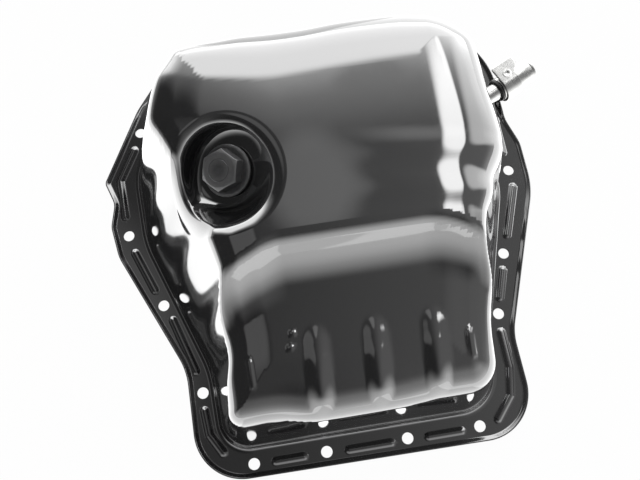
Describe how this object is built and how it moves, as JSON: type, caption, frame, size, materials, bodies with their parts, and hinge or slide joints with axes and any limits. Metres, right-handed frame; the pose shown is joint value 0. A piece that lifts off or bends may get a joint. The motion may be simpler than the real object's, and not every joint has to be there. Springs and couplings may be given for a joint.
{
  "type": "engine oil pan",
  "caption": "Pressed steel engine oil pan with a deep sump, a ribbed shallow shelf, a beaded bolting flange, a drain plug in a round pocket and a dipstick stub tube.",
  "frame": {"origin": "middle of the part's box in plan, on the sealing face", "axes": "+Z out of the sealing face towards the sump's bottom, +X along the straight front edge of the flange, +Y from the front edge to the back"},
  "size_m": [0.3032, 0.2948, 0.0998],
  "materials": {
    "black_paint": "gloss",
    "bare_steel": "satin",
    "washer": "satin",
    "dark_steel": "satin",
    "zinc": "bright zinc plate",
    "seal": "matte"
  },
  "bodies": {
    "root": {"pan": "black_paint", "drain_boss": "bare_steel", "drain_gasket": "washer", "drain_plug": "dark_steel", "dipstick_tube": "zinc", "tube_bracket": "zinc", "tube_seal": "seal"}
  },
  "joints": []
}
